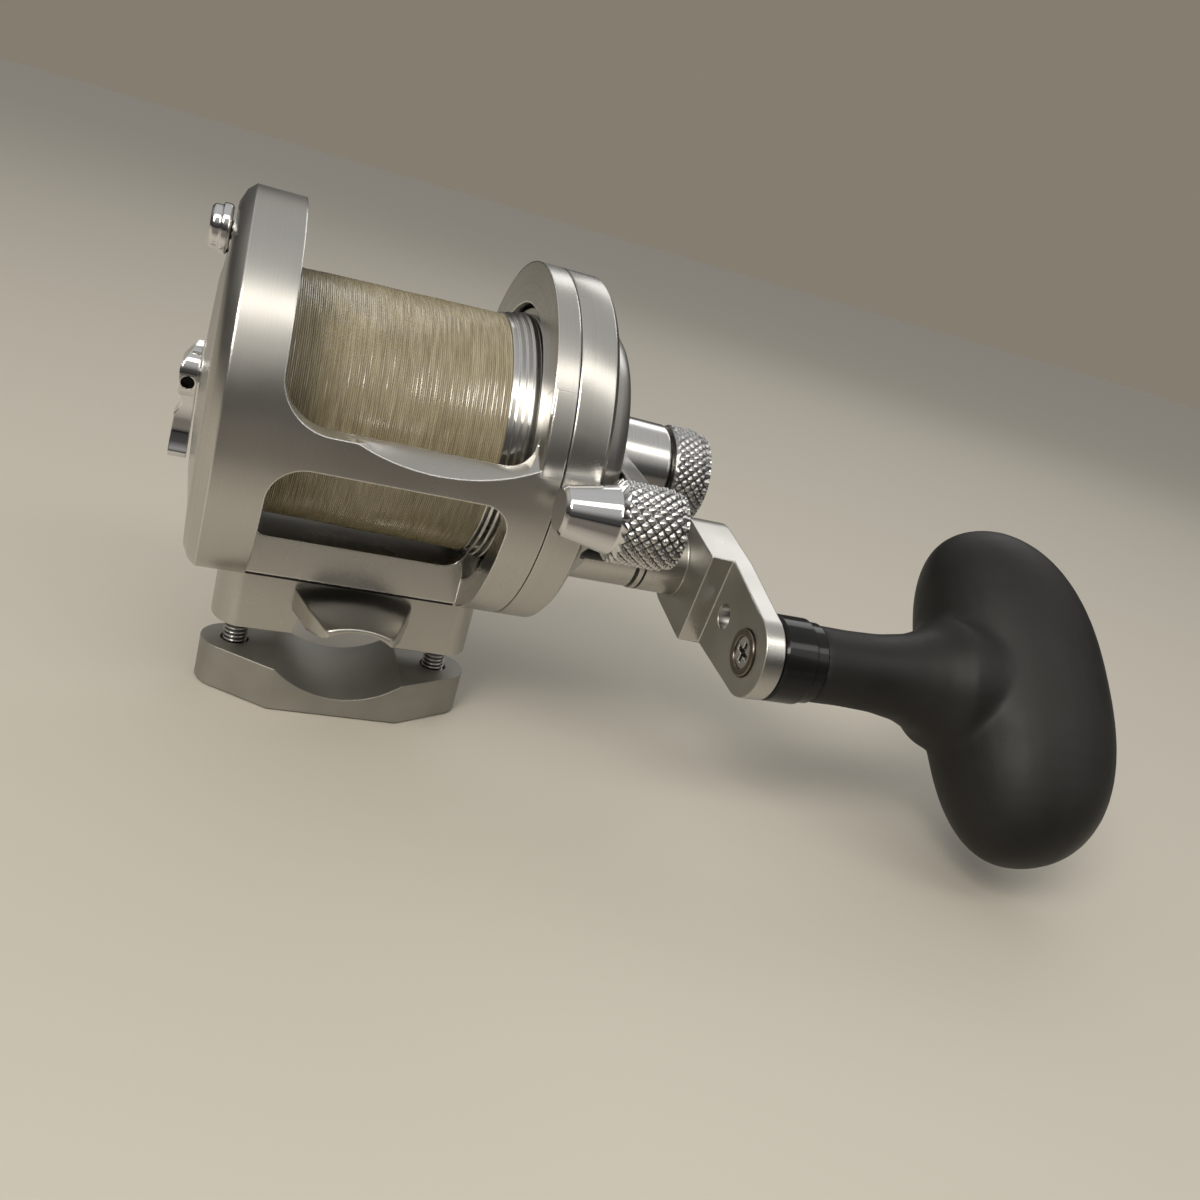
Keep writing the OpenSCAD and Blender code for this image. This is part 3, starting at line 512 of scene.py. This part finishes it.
def chamfered(shape):
    bmesh.ops.bisect_plane(shape, geom=shape.verts[:] + shape.edges[:] + shape.faces[:],
                           plane_co=((JOINT_X + JOINT_WIDE) * MM, 0, 0), plane_no=(1, 0, 0))
    for vert in shape.verts:
        away = math.hypot(vert.co.y, vert.co.z - SPOOL_Z) / MM
        if abs(vert.co.x / MM - JOINT_X) < AT_JOINT and away > PLATE_R - AT_RIM:
            vert.co.y *= JOINT_R / away
            vert.co.z = SPOOL_Z + (vert.co.z - SPOOL_Z) * JOINT_R / away

MACHINED = (("frame", 0.45, true_rim), ("right_side_plate", 0.4, chamfered), ("spool", 0.2, None),
            ("drag_lever", 0.3, None), ("clicker_button", 0.15, None))
for node, width, reshape in MACHINED:
    made = worked(node, width * MM, reshape=reshape)
    print(made.name, len(made.data.polygons), "faces")

# %% [markdown]
# On the right rim the nick is covered instead: a short arc of the rim, with its own broken edge, is laid
# over it.

# %% Rim beside the opening
RIM_TOP, RIM_CUT, RIM_END, RIM_LOW = 32.015, 0.45, 24.04, 28.5
ARC_STEPS, ARC_START, ARC_SWEEP = 28, math.radians(60), math.radians(25.5)
rim_flat = [(RIGHT_RIM, RIM_LOW), (RIGHT_RIM, RIM_TOP - RIM_CUT), (RIGHT_RIM + RIM_CUT, RIM_TOP),
            (RIM_END, RIM_TOP), (RIM_END, RIM_LOW)]
arc = spun(rim_flat, (0, SPOOL_Z), ARC_STEPS, start=ARC_START, sweep=ARC_SWEEP)
put("rim_arc", arc, [anodised], "frame", [])
print("rim arc made")

# %% [markdown]
# ## Rod foot and clamp
# The foot is a block between two posts, with a saddle tongue at either side that rests on the rod. The block
# is a copy of the CAD foot, cut free of its thin plate and drawn deeper, all but its holes. Each tongue is
# lofted: its top is arched, its underside follows the rod, and it narrows towards its end. A thin dark strip
# between foot and frame is painted shade, standing for the shadow in the gap there.

# %% Rod foot
ROD_R, BLOCK_HALF, FOOT_TOP = 9.5, 4.98, 12.5
DEEPER, HOLE_R, HOLES_AT = 1.4, 2.6, (11, 18.8)
TONGUE_TOP, TONGUE_LOW, TONGUE_ARCH = 10.85, 5.5, 1.1
TONGUE = [(4.5, 10.5), (8.0, 10.5), (15.5, 8.3), (22.0, 6.2), (22.9, 5.4)]
TONGUE_ROOT, TONGUE_LONG, TONGUE_COLS, DROOP, ROD_GAP = 4.5, 18.4, 10, 0.5, 0.05
SHADE_STRIP_X, SHADE_STRIP_HALF, SHADE_STRIP_Z = (-19.6, 17.4), 9.7, (-0.55, 0.05)

def cut_free(shape):
    for side in (-1, 1):
        bmesh.ops.bisect_plane(shape, geom=shape.verts[:] + shape.edges[:] + shape.faces[:],
                               plane_co=(0, side * BLOCK_HALF * MM, 0), plane_no=(0, side, 0),
                               clear_outer=True)
    bmesh.ops.holes_fill(shape, edges=[e for e in shape.edges if len(e.link_faces) == 1], sides=0)
    for vert in shape.verts:
        x, y = abs(vert.co.x / MM), vert.co.y / MM
        if min(math.hypot(x - hole, y) for hole in HOLES_AT) > HOLE_R:
            vert.co.y *= DEEPER
    bmesh.ops.recalc_face_normals(shape, faces=shape.faces[:])

def tongue_section(y, half):
    across = [half * (i / TONGUE_COLS - 1) for i in range(2 * TONGUE_COLS + 1)]
    droop = DROOP * (abs(y) - TONGUE_ROOT) / TONGUE_LONG
    top = [(x, y, TONGUE_TOP - droop - TONGUE_ARCH * (x / half) ** 2) for x in across]
    under = [(x, y, max(TONGUE_LOW, math.sqrt(max(0, ROD_R ** 2 - x * x)) + ROD_GAP)) for x in across]
    return top + under[::-1]

worked("rod_foot", 0.5 * MM, reshape=cut_free)
for side, name in ((-1, "foot_tongue_rear"), (1, "foot_tongue_front")):
    tongue = lofted([tongue_section(side * y, half) for y, half in TONGUE])
    broken_edges(put(name, tongue, [by_slot[slot_of["rod_foot"]]], "rod_foot", []), 0.45 * MM, 3)
# Painted shade: a thin dark strip between foot and frame stands for the shadow in the gap there.
shade_strip_flat = [(SHADE_STRIP_X[0], -SHADE_STRIP_HALF), (SHADE_STRIP_X[1], -SHADE_STRIP_HALF), (SHADE_STRIP_X[1], SHADE_STRIP_HALF), (SHADE_STRIP_X[0], SHADE_STRIP_HALF)]
shade_strip = lofted([[(x, y, FOOT_TOP + z) for x, y in shade_strip_flat] for z in SHADE_STRIP_Z])
put("foot_shade_strip", shade_strip, [gloss_black], "rod_foot", [])
print("rod foot made")

# %% [markdown]
# The clamp's saddle is wide and shallow, so that it takes rods of several sizes. In the copy only the points
# of the CAD saddle's arc are moved out to a wider arc of the same depth.

# %% Rod clamp
CLAMP_TOP, SADDLE_HALF, NEAR = -5.0, 11.6, 0.06
depth = ROD_R + CLAMP_TOP
saddle_r = (SADDLE_HALF ** 2 + depth ** 2) / (2 * depth)

def wide_saddle(shape):
    narrow = math.sqrt(ROD_R ** 2 - CLAMP_TOP ** 2)
    for vert in shape.verts:
        x, z = vert.co.x / MM, vert.co.z / MM
        if abs(math.hypot(x, z) - ROD_R) < NEAR and z < CLAMP_TOP + NEAR:
            x *= SADDLE_HALF / narrow
            vert.co.x = x * MM
            vert.co.z = (saddle_r - ROD_R - math.sqrt(saddle_r ** 2 - x * x)) * MM

worked("rod_clamp", 0.5 * MM, reshape=wide_saddle)
print("rod clamp made")

# %% [markdown]
# ## Clamp screw threads
# A thread is a ridge that climbs as it goes round. One small diamond outline is spun about the screw's axis,
# and every step of the spin also lifts it a little, so that it winds up the shank as a helix.

# %% Clamp screw threads
SCREW_X, PITCH, THREAD_LOW, THREAD_TURNS, THREAD_STEPS = 18.8, 0.8, -9.4, 12, 24
THREAD = [(1.7, 0), (1.95, -0.27), (2.28, 0), (1.95, 0.27)]
for side, name in ((-1, "screw_thread_left"), (1, "screw_thread_right")):
    ridge = bmesh.new()
    loop = [ridge.verts.new(Vector((side * SCREW_X + r, 0, THREAD_LOW + up)) * MM) for r, up in THREAD]
    ring = [ridge.edges.new(pair) for pair in zip(loop, loop[1:] + loop[:1])]
    steps = THREAD_TURNS * THREAD_STEPS
    bmesh.ops.spin(ridge, geom=loop + ring, cent=(side * SCREW_X * MM, 0, 0), axis=(0, 0, 1),
                   dvec=(0, 0, PITCH / THREAD_STEPS * MM), angle=2 * math.pi * THREAD_TURNS, steps=steps)
    bmesh.ops.holes_fill(ridge, edges=[e for e in ridge.edges if len(e.link_faces) == 1], sides=0)
    bmesh.ops.recalc_face_normals(ridge, faces=ridge.faces[:])
    put(name, ridge, [by_slot[slot_of["clamp_screws"]]], "clamp_screws", [])
print("threads made")

# %% [markdown]
# ## Cast control lever
# The little lever is chromed all over, and the inside of its cross hole is glossy black as painted shade. The
# faces inside the hole are found by their distance from the hole's axis. The copy's outer face slopes down to
# a pointer at the top and dips between hub and finger pad.

# %% Cast control lever
HOLE_AT, HOLE_FROM, HOLE_TO, HOLE_REACH = Vector((-33.55 * MM, 0, SPOOL_Z - 1 * MM)), -5, -2.4, 1.2
FACE_X, SLOPE, SLOPE_FROM = -34.9, 0.55, 1.6
DIP, DIP_AT, DIP_HALF = 0.9, -5, 2

# Painted shade: the faces inside the cross hole get the glossy black look.
def in_hole(face):
    spot = face.calc_center_median() - HOLE_AT
    return int(HOLE_FROM * MM < spot.y < HOLE_TO * MM and math.hypot(spot.x, spot.z) < HOLE_REACH * MM)

def sloped(shape):
    for vert in shape.verts:
        up = (vert.co.z - SPOOL_Z) / MM
        if vert.co.x < FACE_X * MM:
            dip = DIP * max(0, 1 - ((up - DIP_AT) / DIP_HALF) ** 2)
            vert.co.x += (SLOPE * max(0, up - SLOPE_FROM) + dip) * MM
    bmesh.ops.triangulate(shape, faces=[f for f in shape.faces if len(f.verts) > 4])

made = worked("cast_lever", 0.25 * MM, [chrome, gloss_black], in_hole, reshape=sloped)
print(made.name, len(made.data.polygons), "faces")

# %% [markdown]
# ## Handle arm
# The arm is a forged bar: its two broad faces are blasted dull and its rim is left bright. One copy carries
# both finishes, and each face takes the one that its direction asks for.

# %% Handle arm
made = worked("handle_arm", 0.5 * MM, [anodised, blasted], lambda face: int(abs(face.normal.x) > 0.9), 3)
print(made.name, len(made.data.polygons), "faces")

# %% [markdown]
# A dark seal ring sits in a groove of the arm's hub, next to the side plate's sleeve. It is a small square
# outline spun about the handle's axis.

# %% Hub seal
HANDLE = (-2.366 * MM, 25.665 * MM)
SEAL_X, SEAL_R = (52.5, 52.95), (6.2, 6.63)
seal = spun(square_ring(SEAL_X, SEAL_R), HANDLE, 96)
put("hub_seal", seal, [gloss_black], "handle_arm", [])
print("hub seal made")

# %% [markdown]
# ## Fine line
# The CAD winding is thick, so that it stays light. The real line is under half a millimetre, so a small
# hexagon is spun once about the spool's axis while it creeps along it. That turn is then repeated over a
# hundred times, each a step further along, and the ends that meet are merged. The wound line is fuller at
# one end, so every ring of it is then moved out by its place along the axis, and a little noise lays the
# turns unevenly, which breaks the highlight into sparks.

# %% Line turns
LINE_X = (-21.2 * MM, 16.3 * MM)
LINE_R = (20.7 * MM, 21.5 * MM)
TURNS, STEPS, LINE_D = 112, 60, 0.36 * MM
LAY, LAY_ALONG, LAY_ROUND = 0.09 * MM, 0.7, 9
SAG, SAG_ALONG, SAG_ROUND = 0.14 * MM, 5, 2
pitch = (LINE_X[1] - LINE_X[0] - LINE_D) / TURNS
shape = bmesh.new()
bmesh.ops.create_circle(shape, segments=6, radius=LINE_D / 2)
bmesh.ops.rotate(shape, verts=shape.verts, matrix=Matrix.Rotation(math.pi / 2, 3, "X"))
bmesh.ops.translate(shape, verts=shape.verts, vec=(LINE_X[0] + LINE_D / 2, 0, SPOOL_Z + LINE_R[0]))
bmesh.ops.spin(shape, geom=shape.verts[:] + shape.edges[:], cent=(0, 0, SPOOL_Z), axis=(1, 0, 0),
               dvec=(pitch / STEPS, 0, 0), angle=2 * math.pi, steps=STEPS, use_merge=False)
one_turn = bpy.data.meshes.new("one_turn")
shape.to_mesh(one_turn)
shape.clear()
for turn in range(TURNS):
    shape.from_mesh(one_turn)
    one_turn.transform(Matrix.Translation((pitch, 0, 0)))
bmesh.ops.remove_doubles(shape, verts=shape.verts[:], dist=WELD)
bmesh.ops.holes_fill(shape, edges=[e for e in shape.edges if len(e.link_faces) == 1], sides=6)

def fuller(vert):
    along = (vert.co.x - LINE_X[0]) / (LINE_X[1] - LINE_X[0])
    out = Vector((0, vert.co.y, vert.co.z - SPOOL_Z)).normalized()
    lay = noise.noise(Vector((along * TURNS * LAY_ALONG, out.y * LAY_ROUND, out.z * LAY_ROUND)))
    sag = noise.noise(Vector((along * SAG_ALONG, out.y * SAG_ROUND, out.z * SAG_ROUND)))
    return out * ((LINE_R[1] - LINE_R[0]) * along + LAY * lay + SAG * sag)

for vert in shape.verts:
    vert.co += fuller(vert)
bmesh.ops.recalc_face_normals(shape, faces=shape.faces[:])
put("line_turns", shape, [line_look], "line_winding", ["line_winding"])
print("line turns:", TURNS)

# %% [markdown]
# Under the outer turns lie many more layers. They only show as a pale bed in the gaps, so one spun
# profile, a little smaller than the turns, stands for all of them.

# %% Line bed
BED = [(-21.1, 12.3), (-21.1, 20.5), (16.2, 21.3), (16.2, 12.3)]
bed = spun(BED, (0, SPOOL_Z), 96)
put("line_bed", bed, [line_look], "line_core", ["line_core"])
print("line bed made")

# %% [markdown]
# ## Stepped flange
# At the handle's side the spool's flange is turned in fine steps. A staircase outline spun about the spool's
# axis makes them.

# %% Stepped flange
STEP_X, STEP_R, STEP_BORE, FLANGE_END = 16.0, 21.95, 14.0, 20.6
STEP_COUNT, STEP_WIDE, STEP_TREAD, STEP_RISE = 4, 1.15, 1.1, 0.26
stairs = [(STEP_X, STEP_BORE)]
for i in range(STEP_COUNT):
    level = STEP_R + STEP_RISE * i
    stairs += [(STEP_X + STEP_WIDE * i, level), (STEP_X + STEP_TREAD + STEP_WIDE * i, level)]
stairs += [(FLANGE_END, level), (FLANGE_END, STEP_BORE)]
put("flange_steps", spun(stairs, (0, SPOOL_Z), 128), [polished], "spool", [])
print("flange steps:", STEP_COUNT)

# %% [markdown]
# ## Plate joint shade
# The side plate is screwed against the frame. Where they meet, a fine dark line shows in the plate's chamfer;
# it is painted shade, a narrow dark ring just inside the rim.

# %% Plate joint shade
JOINT_SHADE_X, JOINT_SHADE_R = (23.9, 24.3), (31.2, 31.9)
# Painted shade: a narrow dark ring in the chamfer between side plate and frame.
joint_shade = spun(square_ring(JOINT_SHADE_X, JOINT_SHADE_R), (0, SPOOL_Z), 160)
put("plate_joint_shade", joint_shade, [rubber], "right_side_plate", [])
print("gasket made")

# %% [markdown]
# ## Knurled knobs
# A knurl is two sets of crossing grooves pressed into the metal. The knob's outline is spun finely, and then
# each point of the knurled band sinks where either set of grooves passes. The points between stay at
# full height and form the little pyramids. The faces in the grooves take a dark finish as painted shade.

# %% Knurled knobs
POINTS_PER_RIDGE, CREST, DARK_BELOW = 8, 0.95, 0.3

def knurled(name, node, outline, band, centre, ridges, depth, looks):
    turn_length = 2 * math.pi * band[2] / ridges
    rows = int((band[1] - band[0]) / turn_length * POINTS_PER_RIDGE)
    start = [p for p in outline if p[0] < band[0]]
    end = [p for p in outline if p[0] > band[1]]
    tops = [p for p in outline if band[0] <= p[0] <= band[1]]

    def height(x):
        for (xa, ra), (xb, rb) in zip(tops, tops[1:]):
            if xa <= x <= xb:
                return ra + (rb - ra) * (x - xa) / (xb - xa)
        return tops[-1][1]

    def groove_at(x, turned):
        along = (x - band[0]) / turn_length * 2 * math.pi
        return min(abs(math.sin((turned * ridges + along) / 2)), abs(math.sin((turned * ridges - along) / 2)))

    middle = [band[0] + (band[1] - band[0]) * i / rows for i in range(rows + 1)]
    profile = start + [(x, height(x)) for x in middle] + end
    shape = spun(profile, centre, ridges * POINTS_PER_RIDGE, closed=False)
    for vert in shape.verts:
        x = vert.co.x / MM
        if not band[0] < x < band[1]:
            continue
        out = Vector((0, vert.co.y - centre[0], vert.co.z - centre[1]))
        sink = depth * MM * (1 - min(1, groove_at(x, math.atan2(out.z, out.y)) / CREST))
        vert.co -= out.normalized() * sink

    # Painted shade: faces deep in a groove get the third, dark look.
    def finish(face):
        spot = face.calc_center_median() - Vector((0, *centre))
        x = spot.x / MM
        if not band[0] < x < band[1]:
            return 0
        return 2 if groove_at(x, math.atan2(spot.z, spot.y)) < DARK_BELOW else 1

    put(name, shape, looks, node, [node], finish)

LEVER = (-39.2 * MM, SPOOL_Z)
LEVER_KNOB = [(22.45, 0), (22.45, 3.4), (23.05, 4.0), (30.95, 5.5), (31.35, 6.25), (31.75, 6.7), (40.15, 6.7),
              (41.45, 6.2), (42.35, 5.1), (42.55, 3.7), (42.55, 0)]
PRESET_KNOB = [(52.45, 0), (52.45, 8.8), (52.85, 9.1), (53.05, 9.3), (57.65, 9.3), (59.25, 8.6), (60.25, 7.1),
               (60.65, 4.9), (60.65, 0)]
# The last look of each knob is the painted shade in its grooves.
knurled("lever_knob_knurled", "lever_knob", LEVER_KNOB, (31.75, 41.9, 6.7), LEVER, 22, 0.6,
        [chrome, polished, oxide])
knurled("preset_knob_knurled", "preset_knob", PRESET_KNOB, (53.05, 59.9, 9.3), (0, SPOOL_Z), 32, 0.45,
        [steel, steel, oxide])
print("knurled knobs made")

# %% [markdown]
# ## Moulded grip
# The T-shaped grip is one moulding: bar and neck flow into each other. Copies of the two CAD solids are
# put in one mesh, fused by a voxel remesh and smoothed, which leaves a soft fillet where they met.

# %% Moulded grip
VOXEL, RELAX_FACTOR, RELAX_TIMES = 0.7, 0.5, 14
shape = welded("grip_bar", "grip_core")
mesh = bpy.data.meshes.new("grip_rough")
shape.to_mesh(mesh)
shape.free()
rough = bpy.data.objects.new("grip_rough", mesh)
bpy.context.collection.objects.link(rough)
fuse = rough.modifiers.new("fuse", "REMESH")
fuse.mode = "VOXEL"
fuse.voxel_size = VOXEL * MM
relax = rough.modifiers.new("relax", "SMOOTH")
relax.factor = RELAX_FACTOR
relax.iterations = RELAX_TIMES
fused = bpy.data.meshes.new_from_object(rough.evaluated_get(bpy.context.evaluated_depsgraph_get()))
bpy.data.objects.remove(rough)
shape = bmesh.new()
shape.from_mesh(fused)
put("moulded_grip", shape, [rubber], "grip_bar", ["grip_bar", "grip_core"])
print("grip faces:", len(fused.polygons))
